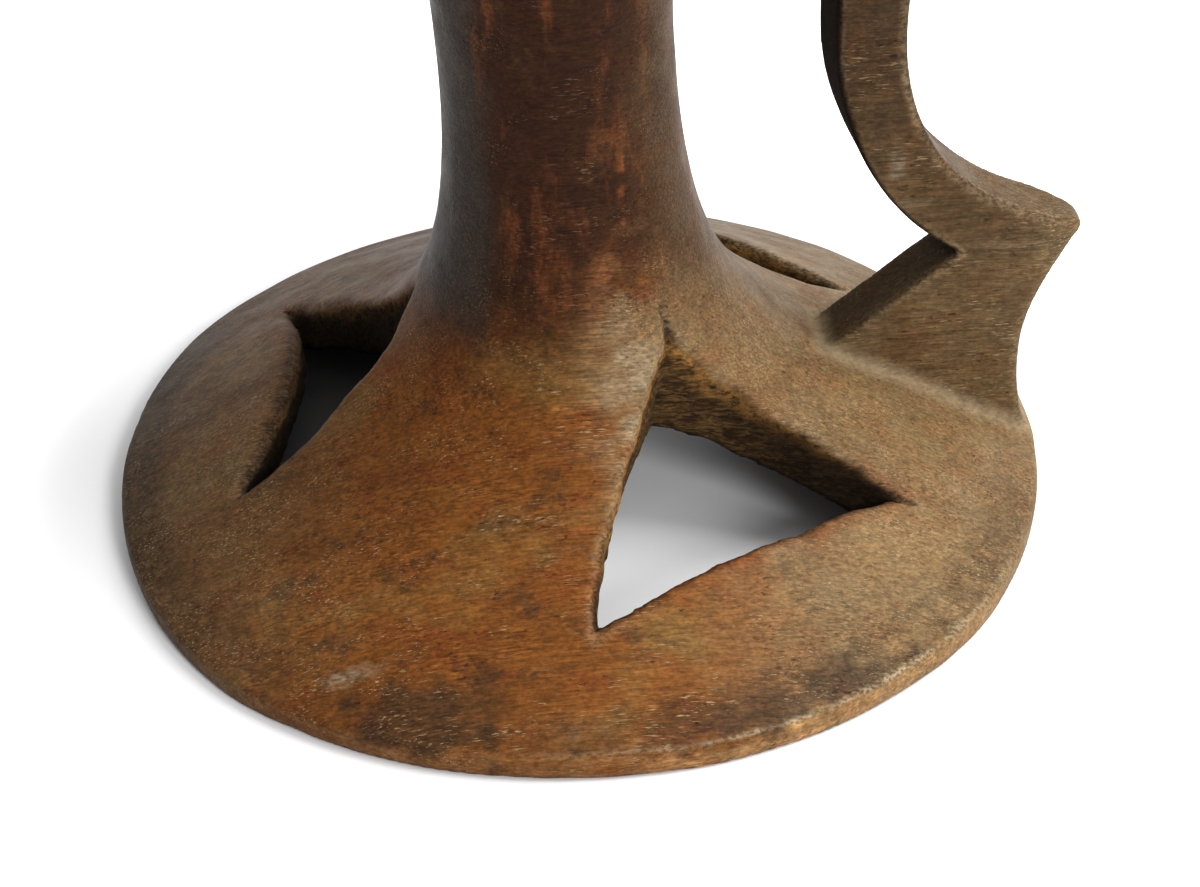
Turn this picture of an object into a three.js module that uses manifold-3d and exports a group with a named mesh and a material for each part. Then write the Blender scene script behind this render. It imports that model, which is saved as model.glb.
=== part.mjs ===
// Carved wooden headrest: a pierced, hollow bell base, a waisted column, a crescent neck rest and a
// slab handle with a beak and a V notch at each end.
// The real object is carved from one block, so each node here is one carved member of that block.
// Millimetres, +Z up. The origin is the centre of the base's underside; the handle lies towards +X.

import * as THREE from 'three';
import { mergeVertices } from 'three/addons/utils/BufferGeometryUtils.js';
import Module from 'manifold-3d';

const wasm = await Module();
wasm.setup();

// ---------------------------------------------------------------- driving dimensions
const totalHeight = 160;
const baseRadius = 75;
const rimHeight = 4.8;
const rimWear = 1.4; // the worn bevel at the rim's upper edge
const seamGap = 0.35; // clearance where one member is cut to fit another

// Column: a waist that flares towards both ends, radius = waist + gain * d^2 / (reach - d),
// where d is the distance above or below the waist. The upper flare is the quicker one.
const waistHeight = totalHeight / 2;
const waistRadius = 17.6;
const flareGain = 0.149;
const lowerReach = 78;
const upperReach = 64;
const columnBottom = 42;
const columnTop = 110;
const coneTop = 23.3; // height at which the lower flare runs into the straight cone of the base

// Hollow under the base: a cone with a rounded top.
const hollowRadius = 69.5;
const hollowSlope = 0.47;
const hollowRounding = 9;

// Windows: three triangles cut straight down through the bell, point towards the column.
// Each is cut by eye: its corners are azimuths about the column in degrees, the two lower ones lie
// at the given radius, and its lower side bulges away from the column by lowerBow.
const windows = [
  { right: -90, left: -34, point: -56, radius: 57, lowerBow: 1 },
  { right: 26, left: 81, point: 40, radius: 52, lowerBow: 0 },
  { right: 147.5, left: 199.5, point: 180, radius: 55.5, lowerBow: -5 },
];
const windowPointRadius = 24.4;
const windowBow = 1.8; // how far each long side bulges outwards

// Neck rest: a crescent between two arcs, seen from the side.
const restHalfLength = 84;
const restHalfDepth = 37.5;
const restTopDip = 26; // how far the middle of the upper face lies below the tips
const restTipThickness = 8;
const restMiddleThickness = 12;

// Handle: a slab in the XZ plane, mirrored about half the total height.
const handleThickness = 10.5;
const handleMiddle = totalHeight / 2;
const gripHalfLength = 18; // the plain grip reaches this far above and below the middle
const gripInnerX = 40.6;
const gripOuterX = 51.2;
const gripEndInnerX = gripInnerX + 3.2; // where the bar has bent to at the grip's ends
const gripEndOuterX = gripOuterX + 3.7;
const notchX = 60.7; // corner of the V notch
const notchDrop = 39.8; // its distance from the middle
const beakX = 80.2; // tip of the beak
const beakDrop = 36.4;
const footInnerX = 36; // where the sloping edge of the foot ends, inside the flare
const footOuterX = 74.3;

// Facets
const latheSides = 64;
const columnSides = 48;
const arcSteps = 24;

// ---------------------------------------------------------------- materials
const wood = (name, color, roughness) =>
  new THREE.MeshStandardMaterial({ name, color, roughness, metalness: 0 });
const baseWood = wood('base_wood', 0x7a5230, 0.55);
const darkWood = wood('dark_wood', 0x4c3426, 0.5);
const handleWood = wood('handle_wood', 0x6b5136, 0.55);

// ---------------------------------------------------------------- helpers
const degrees = (angle) => THREE.MathUtils.degToRad(angle);

// Turns a closed geometry into a manifold solid, leaving out triangles that have no area.
function toSolid(geometry) {
  const bare = geometry.clone();
  bare.deleteAttribute('normal');
  bare.deleteAttribute('uv');
  const merged = mergeVertices(bare, 1e-4);
  const corners = merged.index.array;
  const kept = [];
  for (let i = 0; i < corners.length; i += 3) {
    const [a, b, c] = [corners[i], corners[i + 1], corners[i + 2]];
    if (a !== b && b !== c && c !== a) kept.push(a, b, c);
  }
  return new wasm.Manifold(new wasm.Mesh({
    numProp: 3,
    vertProperties: new Float32Array(merged.attributes.position.array),
    triVerts: new Uint32Array(kept),
  }));
}

// Turns a manifold solid back into a three.js geometry.
function toGeometry(solid) {
  const mesh = solid.getMesh();
  const geometry = new THREE.BufferGeometry();
  geometry.setAttribute('position', new THREE.BufferAttribute(mesh.vertProperties, 3));
  geometry.setIndex(new THREE.BufferAttribute(mesh.triVerts, 1));
  return geometry;
}

// Revolves an outline of (radius, height) points about the Z axis.
function revolve(outline, sides) {
  const geometry = new THREE.LatheGeometry(outline, sides);
  return toSolid(geometry.rotateX(Math.PI / 2));
}

// Extrudes a side view, drawn as (x, z), along Y about the XZ plane.
function slab(sideView, thickness) {
  const geometry = new THREE.ExtrudeGeometry(sideView, {
    depth: thickness,
    bevelEnabled: false,
    curveSegments: arcSteps,
  });
  return toSolid(geometry.rotateX(Math.PI / 2).translate(0, thickness / 2, 0));
}

// Extrudes a plan view, drawn as (x, y), upwards between two heights.
function pillar(planView, from, to, curveSegments) {
  const geometry = new THREE.ExtrudeGeometry(planView, {
    depth: to - from,
    bevelEnabled: false,
    curveSegments,
  });
  return toSolid(geometry.translate(0, 0, from));
}

// ---------------------------------------------------------------- shared outlines
// Radius of the waisted column and its flares at a given height.
function flareRadius(height) {
  const d = Math.abs(height - waistHeight);
  const reach = height < waistHeight ? lowerReach : upperReach;
  return waistRadius + (flareGain * d * d) / (reach - d);
}

// Points of the flare's outline between two heights.
function flareOutline(from, to, steps) {
  const outline = [];
  for (let i = 0; i <= steps; i += 1) {
    const height = from + ((to - from) * i) / steps;
    outline.push(new THREE.Vector2(flareRadius(height), height));
  }
  return outline;
}

// Height of the hollow's surface under the base at a given radius.
const hollowHeight = (radius) => hollowSlope * (hollowRadius - Math.hypot(radius, hollowRounding));

// Radius of the arc that rises by `rise` over the rest's half length.
const arcRadius = (rise) => (restHalfLength ** 2 + rise ** 2) / (2 * rise);

const restUndersideMiddle = totalHeight - restTopDip - restMiddleThickness;
const restUndersideRise = totalHeight - restTipThickness - restUndersideMiddle;

// Everything above the neck rest's underside, a little enlarged: it trims what meets the rest.
function restClearance() {
  const radius = arcRadius(restUndersideRise);
  const round = new THREE.Shape();
  round.absarc(0, restUndersideMiddle + radius, radius + seamGap, 0, 2 * Math.PI);
  const geometry = new THREE.ExtrudeGeometry(round, {
    depth: 4 * restHalfDepth,
    bevelEnabled: false,
    curveSegments: 8 * arcSteps,
  });
  return toSolid(geometry.rotateX(Math.PI / 2).translate(0, 2 * restHalfDepth, 0));
}

// ---------------------------------------------------------------- members
// Outline of the bell's upper side, from the rim up to the column.
function bellOutline(lift) {
  const outline = [
    new THREE.Vector2(baseRadius, rimHeight - rimWear + lift),
    new THREE.Vector2(baseRadius - rimWear / 2, rimHeight + lift),
  ];
  for (const point of flareOutline(coneTop, columnBottom, 8)) {
    outline.push(new THREE.Vector2(point.x, point.y + lift));
  }
  return outline;
}

// A window's plan: a triangle with slightly bulging long sides, its base across the bell.
function windowPlan(layout) {
  const corner = (radius, azimuth) =>
    new THREE.Vector2(radius, 0).rotateAround(new THREE.Vector2(), degrees(azimuth));
  const point = corner(windowPointRadius, layout.point);
  const right = corner(layout.radius, layout.right);
  const left = corner(layout.radius, layout.left);
  const plan = new THREE.Shape();
  plan.moveTo(point.x, point.y);
  // Draws the side to b, which bulges to its right by bow.
  const side = (b, bow) => {
    const along = b.clone().sub(plan.currentPoint).normalize();
    const sideways = new THREE.Vector2(along.y, -along.x).multiplyScalar(2 * bow);
    const control = plan.currentPoint.clone().add(b).multiplyScalar(0.5).add(sideways);
    plan.quadraticCurveTo(control.x, control.y, b.x, b.y);
  };
  side(right, windowBow);
  side(left, layout.lowerBow);
  side(point, windowBow);
  return plan;
}

// The hollow bell with its three windows.
function baseBell() {
  const outline = [];
  const rimInner = Math.sqrt(hollowRadius ** 2 - hollowRounding ** 2);
  const hollowSteps = 9;
  for (let i = 0; i <= hollowSteps; i += 1) {
    const radius = (rimInner * i) / hollowSteps;
    outline.push(new THREE.Vector2(radius, i === hollowSteps ? 0 : hollowHeight(radius)));
  }
  outline.push(new THREE.Vector2(baseRadius, 0), ...bellOutline(0));
  outline.push(new THREE.Vector2(0, columnBottom));
  let bell = revolve(outline, latheSides);
  for (const layout of windows) {
    bell = bell.subtract(pillar(windowPlan(layout), -10, waistHeight, 6));
  }
  return bell;
}

// The waisted column between the bell and the capital.
function column() {
  const outline = flareOutline(columnBottom, columnTop, 16);
  outline.unshift(new THREE.Vector2(0, columnBottom));
  outline.push(new THREE.Vector2(0, columnTop));
  return revolve(outline, columnSides);
}

// The upper flare, cut to the neck rest's rounded underside.
function restCapital() {
  const top = restUndersideMiddle + 10;
  const outline = flareOutline(columnTop, top, 10);
  outline.unshift(new THREE.Vector2(0, columnTop));
  outline.push(new THREE.Vector2(0, top));
  return revolve(outline, columnSides).subtract(restClearance());
}

// The crescent neck rest: its side view cut to its plan.
function neckRest() {
  const topRadius = arcRadius(restTopDip);
  const bottomRadius = arcRadius(restUndersideRise);
  const topAngle = Math.asin(restHalfLength / topRadius);
  const bottomAngle = Math.asin(restHalfLength / bottomRadius);
  const down = -Math.PI / 2;
  const sideView = new THREE.Shape();
  sideView.absarc(0, totalHeight - restTopDip + topRadius, topRadius, down + topAngle, down - topAngle, true);
  sideView.absarc(0, restUndersideMiddle + bottomRadius, bottomRadius, down - bottomAngle, down + bottomAngle);
  sideView.closePath();
  const endX = restHalfLength - 4;
  const shoulderX = restHalfLength - 12;
  const endY = restHalfDepth - 11.5;
  const shoulderY = restHalfDepth - 3.5;
  const plan = new THREE.Shape();
  plan.moveTo(endX, -endY);
  plan.quadraticCurveTo(restHalfLength + 4, 0, endX, endY);
  plan.quadraticCurveTo(endX - 0.5, shoulderY - 1, shoulderX, shoulderY);
  plan.quadraticCurveTo(0, restHalfDepth + 3.5, -shoulderX, shoulderY);
  plan.quadraticCurveTo(-endX + 0.5, shoulderY - 1, -endX, endY);
  plan.quadraticCurveTo(-restHalfLength - 4, 0, -endX, -endY);
  plan.quadraticCurveTo(-endX + 0.5, -shoulderY + 1, -shoulderX, -shoulderY);
  plan.quadraticCurveTo(0, -restHalfDepth - 3.5, shoulderX, -shoulderY);
  plan.quadraticCurveTo(endX - 0.5, -shoulderY + 1, endX, -endY);
  const body = slab(sideView, 3 * restHalfDepth);
  return body.intersect(pillar(plan, 0, totalHeight + 10, 10));
}

// The plain grip: a bar that bends outwards towards both ends.
function handleGrip() {
  const bar = new THREE.Shape();
  const h = gripHalfLength;
  const m = handleMiddle;
  bar.moveTo(gripEndInnerX, m - h);
  bar.bezierCurveTo(gripInnerX + 1, m - 12.5, gripInnerX, m - 7, gripInnerX, m);
  bar.bezierCurveTo(gripInnerX, m + 7, gripInnerX + 1, m + 12.5, gripEndInnerX, m + h);
  bar.lineTo(gripEndOuterX, m + h);
  bar.bezierCurveTo(gripOuterX + 1.2, m + 12.5, gripOuterX, m + 7, gripOuterX, m);
  bar.bezierCurveTo(gripOuterX, m - 7, gripOuterX + 1.2, m - 12.5, gripEndOuterX, m - h);
  bar.closePath();
  return slab(bar, handleThickness);
}

// One end of the handle, with beak and notch; side is -1 for the foot and 1 for the head.
// Its far edge runs past the member that it meets, which then trims it.
function handleEnd(side) {
  const at = (x, drop) => [x, handleMiddle + side * drop];
  const end = new THREE.Shape();
  end.moveTo(...at(gripEndInnerX, gripHalfLength));
  end.bezierCurveTo(...at(45.8, 25), ...at(51, 34), ...at(notchX, notchDrop));
  end.lineTo(...at(footInnerX, notchDrop + (notchX - footInnerX) * 0.689));
  end.lineTo(...at(footInnerX, handleMiddle - 5));
  end.lineTo(...at(footOuterX, handleMiddle - 5));
  end.bezierCurveTo(...at(70.3, 60), ...at(71.7, 52), ...at(beakX - 1.2, beakDrop + 2.2));
  end.quadraticCurveTo(...at(beakX + 0.8, beakDrop - 0.4), ...at(beakX - 1.9, beakDrop - 0.8));
  end.bezierCurveTo(...at(68, 32.9), ...at(58.4, 26.2), ...at(gripEndOuterX, gripHalfLength));
  end.closePath();
  return slab(end, handleThickness);
}

function handleFoot() {
  const bell = bellOutline(seamGap);
  const outline = [new THREE.Vector2(0, -1), new THREE.Vector2(baseRadius, -1), ...bell];
  outline.push(new THREE.Vector2(0, bell[bell.length - 1].y));
  return handleEnd(-1).subtract(revolve(outline, latheSides));
}

function handleHead() {
  return handleEnd(1).subtract(restClearance());
}

// ---------------------------------------------------------------- the headrest
const headrest = new THREE.Group();

function addMember(name, solid, material) {
  const mesh = new THREE.Mesh(toGeometry(solid), material);
  mesh.name = name;
  headrest.add(mesh);
}

addMember('base_bell', baseBell(), baseWood);
addMember('column', column(), darkWood);
addMember('rest_capital', restCapital(), darkWood);
addMember('neck_rest', neckRest(), baseWood);
addMember('handle_foot', handleFoot(), handleWood);
addMember('handle_grip', handleGrip(), handleWood);
addMember('handle_head', handleHead(), handleWood);

export default headrest;
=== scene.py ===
"""Looks of a wooden headrest carved from one block: a hollow pierced bell, a waisted column, a
crescent neck rest and a slab handle.

The whole carving is one distance field, so its members run into each other with real fillets. The
field is meshed once and then divided into one closed piece for each CAD node.
Lengths inside the carving are in millimetres; Blender objects are in metres.
"""

import math

import bpy
import numpy as np
import openvdb
from mathutils import Matrix, Vector


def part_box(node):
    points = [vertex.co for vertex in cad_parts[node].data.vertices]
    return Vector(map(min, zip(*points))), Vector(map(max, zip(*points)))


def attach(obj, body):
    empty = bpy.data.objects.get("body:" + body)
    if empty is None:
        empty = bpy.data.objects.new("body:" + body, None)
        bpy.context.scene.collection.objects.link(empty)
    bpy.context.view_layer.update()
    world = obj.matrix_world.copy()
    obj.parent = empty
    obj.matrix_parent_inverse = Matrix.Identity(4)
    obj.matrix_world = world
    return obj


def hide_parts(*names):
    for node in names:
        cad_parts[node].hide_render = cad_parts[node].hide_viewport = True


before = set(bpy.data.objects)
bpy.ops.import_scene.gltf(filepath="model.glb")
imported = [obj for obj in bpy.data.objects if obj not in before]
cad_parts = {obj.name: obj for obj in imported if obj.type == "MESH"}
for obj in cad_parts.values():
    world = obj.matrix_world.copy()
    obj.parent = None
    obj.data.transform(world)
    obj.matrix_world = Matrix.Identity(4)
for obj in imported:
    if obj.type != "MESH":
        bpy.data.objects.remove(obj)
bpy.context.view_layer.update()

MM = 1000.0  # millimetres in a metre

# ------------------------------------------------------------------ sizes read from the frame


def node_box(node):
    """Lowest and highest corner of a CAD node, in millimetres."""
    low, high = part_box(node)
    return low * MM, high * MM


bell_low, bell_high = node_box("base_bell")
column_low, column_high = node_box("column")
rest_low, rest_high = node_box("neck_rest")
grip_low, grip_high = node_box("handle_grip")
foot_high = node_box("handle_foot")[1]

BASE_RADIUS = (bell_high.x - bell_low.x) / 2
HEIGHT = rest_high.z
COLUMN_BOTTOM = column_low.z
COLUMN_TOP = column_high.z
REST_HALF_LENGTH = (rest_high.x - rest_low.x) / 2
REST_HALF_DEPTH = (rest_high.y - rest_low.y) / 2
REST_UNDERSIDE = rest_low.z
HANDLE_THICKNESS = grip_high.y - grip_low.y
GRIP_BOTTOM = grip_low.z
GRIP_TOP = grip_high.z
GRIP_INNER = grip_low.x
BEAK_X = foot_high.x

# ------------------------------------------------------------------ carving dimensions

WAIST_HEIGHT = HEIGHT / 2
WAIST_RADIUS = 17.6
FLARE_GAIN = 0.149  # how fast the column widens away from its waist
LOWER_REACH = 78.0  # below the waist the flare would be flat this far from it
UPPER_REACH = 64.0  # the same above the waist
CONE_TOP = 23.3  # the bell is a plain cone below this height
UPPER_CURVE = 46.0  # the capital is a plain cone further than this above the waist
HOLLOW_RADIUS = 69.5
HOLLOW_SLOPE = 0.47
HOLLOW_ROUNDING = 9.0
WINDOW_POINT_RADIUS = 24.4
WINDOW_BOW = 1.8  # how far a window's sides bulge
REST_DIP = 26.0  # depth of the crescent
REST_TIP = 8.0  # thickness of the crescent's ends
GRIP_OUTER = 51.2
NOTCH_X = 60.7
NOTCH_DROP = 39.8  # from the waist's height, like BEAK_DROP
NOTCH_SLOPE = 0.689
BEAK_DROP = 36.4
FOOT_OUTER = 74.3

# Studio light: the glow of the sweep away from and towards its bright side, and two soft lamps.
BRIGHT_SIDE = (0.74, 0.32, 0.59)
DARK_GLOW = 0.12
BRIGHT_GLOW = 1.55
KEY_POWER = 5.6
FRONT_POWER = 3.8
CONTRAST_GAMMA = 0.87

# The floor: its tone, the deep shade painted under the left part of the base along X, and its painted
# glow.
CLOTH_TONE = (0.78, 0.78, 0.79, 1)
SHADED_TONE = (0.06, 0.055, 0.05, 1)
SHADE_FROM_TO = (-18.0, -34.0)
SHADE_STRENGTH = 0.85
FAR_GLOW = 0.7

VOXEL = 0.66
COARSE = 4  # voxels along one side of a coarse cell
MARGIN = 5.0  # empty space around the carving in its grid
PIECE_TRIANGLES = 190_000  # a piece with more than this is thinned

# ------------------------------------------------------------------ small mathematics


def smooth_step(low, high, value):
    """0 up to low and 1 from high on, or the other way round when low is the larger."""
    t = np.clip((value - low) / (high - low), 0.0, 1.0)
    return t * t * (3.0 - 2.0 * t)


def smooth_max(a, b, k):
    """Larger of two fields, with the edge between them rounded over a width k."""
    h = np.maximum(k - np.abs(a - b), 0.0) / k
    return np.maximum(a, b) + h * h * k * 0.25


def smooth_min(a, b, k):
    """Smaller of two fields, with the crease between them filled over a width k."""
    return -smooth_max(-a, -b, k)


def bezier(*points, steps=16):
    """Points along a quadratic or cubic Bezier curve, without its first point."""
    t = np.linspace(0.0, 1.0, steps + 1)[1:, None]
    level = [np.asarray(p, float)[None, :] for p in points]
    while len(level) > 1:
        level = [a + (b - a) * t for a, b in zip(level[:-1], level[1:])]
    return level[0]


def polar(radius, azimuth):
    """A plan point at a radius and an azimuth in degrees."""
    angle = math.radians(azimuth)
    return np.array([radius * math.cos(angle), radius * math.sin(angle)])


class Noise:
    """Smooth value noise on a random lattice that repeats far outside the carving."""

    SIZE = 64

    def __init__(self, seed):
        random = np.random.default_rng(seed)
        self.lattice = random.uniform(-1.0, 1.0, (self.SIZE,) * 3).astype(np.float32)

    def __call__(self, p, scale):
        q = p / np.asarray(scale, np.float32) + 1000.0
        cell = np.floor(q).astype(np.int32)
        t = q - cell
        t = t * t * (3.0 - 2.0 * t)
        near = cell % self.SIZE
        far = (cell + 1) % self.SIZE
        total = 0.0
        for corner in range(8):
            picks = [far if corner >> axis & 1 else near for axis in range(3)]
            weight = 1.0
            for axis in range(3):
                weight = weight * (t[:, axis] if corner >> axis & 1 else 1.0 - t[:, axis])
            value = self.lattice[picks[0][:, 0], picks[1][:, 1], picks[2][:, 2]]
            total = total + weight * value
        return total


class Outline:
    """Signed distance to a closed outline, negative inside, read from a fine table."""

    STEP = 0.3

    def __init__(self, points, margin=9.0):
        points = np.asarray(points, float)
        self.low = points.min(0) - margin
        counts = ((points.max(0) + margin - self.low) / self.STEP).astype(int) + 2
        u = self.low[0] + self.STEP * np.arange(counts[0])
        v = self.low[1] + self.STEP * np.arange(counts[1])
        self.values = self.measure(points, *np.meshgrid(u, v, indexing="ij")).astype(np.float32)

    @staticmethod
    def measure(points, u, v):
        nearest = np.full(u.shape, 1e9)
        inside = np.zeros(u.shape, bool)
        for (au, av), (bu, bv) in zip(points, np.roll(points, -1, axis=0)):
            du, dv = bu - au, bv - av
            length = du * du + dv * dv
            if length < 1e-12:
                continue
            t = np.clip(((u - au) * du + (v - av) * dv) / length, 0.0, 1.0)
            nearest = np.minimum(nearest, (u - au - t * du) ** 2 + (v - av - t * dv) ** 2)
            if dv:
                crosses = (av > v) != (bv > v)
                inside ^= crosses & (u < au + (v - av) * du / dv)
        return np.where(inside, -1.0, 1.0) * np.sqrt(nearest)

    def __call__(self, u, v):
        i = np.clip((u - self.low[0]) / self.STEP, 0.0, self.values.shape[0] - 1.001)
        j = np.clip((v - self.low[1]) / self.STEP, 0.0, self.values.shape[1] - 1.001)
        i0 = i.astype(np.int32)
        j0 = j.astype(np.int32)
        s = (i - i0).astype(np.float32)
        t = (j - j0).astype(np.float32)
        a = self.values[i0, j0] * (1.0 - s) + self.values[i0 + 1, j0] * s
        b = self.values[i0, j0 + 1] * (1.0 - s) + self.values[i0 + 1, j0 + 1] * s
        return a * (1.0 - t) + b * t


# ------------------------------------------------------------------ outlines of the carving


def bowed_side(a, b, bow):
    """Points from a to b along a side that bulges to its right by bow, without a itself."""
    along = (b - a) / np.linalg.norm(b - a)
    control = (a + b) / 2 + 2 * bow * np.array([along[1], -along[0]])
    return bezier(a, control, b, steps=10)


def window_outline(right, left, point, radius, lower_bow):
    """Plan of one triangular window, from the azimuths of its corners."""
    corners = [polar(WINDOW_POINT_RADIUS, point), polar(radius, right), polar(radius, left)]
    bows = [WINDOW_BOW, lower_bow, WINDOW_BOW]
    sides = [bowed_side(corners[n], corners[(n + 1) % 3], bows[n]) for n in range(3)]
    return Outline(np.vstack(sides))


def handle_end(side):
    """Side view of the handle's foot (side -1) or head (side 1), from grip to grip end."""

    def at(x, drop):
        return (x, WAIST_HEIGHT + side * drop)

    inner_x = GRIP_INNER + 3.2
    outer_x = GRIP_OUTER + 3.7
    reach = (GRIP_TOP - GRIP_BOTTOM) / 2
    buried = 36.0  # the slope of the notch runs on to here, inside the flare
    notch = at(NOTCH_X, NOTCH_DROP)
    beak = at(BEAK_X - 0.3, BEAK_DROP + 2.6)
    beak_top = at(BEAK_X - 1.8, BEAK_DROP - 1.2)
    inner = bezier(at(inner_x, reach), at(45.8, 25), at(51, 34), notch)
    slope_end = NOTCH_DROP + (NOTCH_X - buried) * NOTCH_SLOPE
    root = buried_root(side, at(buried, slope_end + 3.0), at(FOOT_OUTER, 0))
    outer = bezier(root[-1], at(70.3, 60), at(71.7, 52), beak)
    tip = bezier(beak, at(BEAK_X + 2.6, BEAK_DROP - 0.2), beak_top, steps=8)
    back = bezier(beak_top, at(68, 32.9), at(58.4, 26.2), at(outer_x, reach))
    return np.vstack([inner, root, outer, tip, back])


def buried_root(side, inner, outer):
    """The edge of a handle's end that lies inside the member it grows out of."""
    if side < 0:
        wall_middle = 4.0
        return np.array([inner, (outer[0], wall_middle + 1.0)])
    half = [REST_HALF_LENGTH, HEIGHT - REST_TIP - REST_UNDERSIDE]
    radius = (half[0] ** 2 + half[1] ** 2) / (2 * half[1])
    x = np.linspace(inner[0], outer[0], 8)
    inside = 3.0  # how deep the root sits in the neck rest
    z = REST_UNDERSIDE + radius - np.sqrt(radius**2 - x**2) + inside
    return np.stack([x, z], 1)


def handle_outline():
    """Side view of the whole handle: foot, grip and head."""
    foot = handle_end(-1)
    head = handle_end(1)[::-1]
    middle = WAIST_HEIGHT
    inner_x = GRIP_INNER + 3.2
    outer_x = GRIP_OUTER + 3.7

    def bar(x_end, x, lean):
        return bezier((x_end, GRIP_BOTTOM), (x + lean, middle - 12.5), (x, middle - 7), (x, middle))

    def bar_up(x_end, x, lean):
        return bezier((x, middle), (x, middle + 7), (x + lean, middle + 12.5), (x_end, GRIP_TOP))

    outer = np.vstack([bar(outer_x, GRIP_OUTER, 1.2), bar_up(outer_x, GRIP_OUTER, 1.2)])
    inner = np.vstack([bar(inner_x, GRIP_INNER, 1.0), bar_up(inner_x, GRIP_INNER, 1.0)])
    return Outline(np.vstack([foot, outer, head, inner[::-1]]))


def arc_points(middle, rise, half, steps=48):
    """An arc, concave upwards, that rises from the middle to both ends."""
    radius = (half**2 + rise**2) / (2 * rise)
    x = np.linspace(-half, half, steps + 1)
    return np.stack([x, middle + radius - np.sqrt(radius**2 - x**2)], 1)


def rest_side_outline():
    """Side view of the crescent neck rest."""
    top = arc_points(HEIGHT - REST_DIP, REST_DIP, REST_HALF_LENGTH)
    under = arc_points(REST_UNDERSIDE, HEIGHT - REST_TIP - REST_UNDERSIDE, REST_HALF_LENGTH)
    return Outline(np.vstack([top[::-1], under]))


def rest_plan_outline():
    """Plan of the neck rest: bowed ends, round shoulders and slightly bowed long sides."""
    end_x, end_y = REST_HALF_LENGTH - 4, REST_HALF_DEPTH - 11.5
    shoulder_x, shoulder_y = REST_HALF_LENGTH - 12, REST_HALF_DEPTH - 3.5
    bulge_x, bulge_y = REST_HALF_LENGTH + 4, REST_HALF_DEPTH + 3.5
    curves = [
        bezier((end_x, -end_y), (bulge_x, 0), (end_x, end_y)),
        bezier((end_x, end_y), (end_x - 0.5, shoulder_y - 1), (shoulder_x, shoulder_y)),
        bezier((shoulder_x, shoulder_y), (0, bulge_y), (-shoulder_x, shoulder_y)),
        bezier((-shoulder_x, shoulder_y), (-end_x + 0.5, shoulder_y - 1), (-end_x, end_y)),
    ]
    half = np.vstack(curves)
    return Outline(np.vstack([half, -half]))


# ------------------------------------------------------------------ the carving as a distance field


def near_angle(azimuth, middle, spread):
    """A soft bump around an azimuth, all in degrees."""
    apart = (azimuth - middle + 180.0) % 360.0 - 180.0
    return np.exp(-((apart / spread) ** 2))


def rim_bulge(azimuth):
    """How far the hand-cut rim stands outside (or inside) a true circle."""
    lobes = [(-140, 26, 1.2), (-45, 30, 1.0), (0, 24, 0.9), (62, 34, -1.9), (143, 24, 3.2)]
    return sum(height * near_angle(azimuth, middle, spread) for middle, spread, height in lobes)


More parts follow.
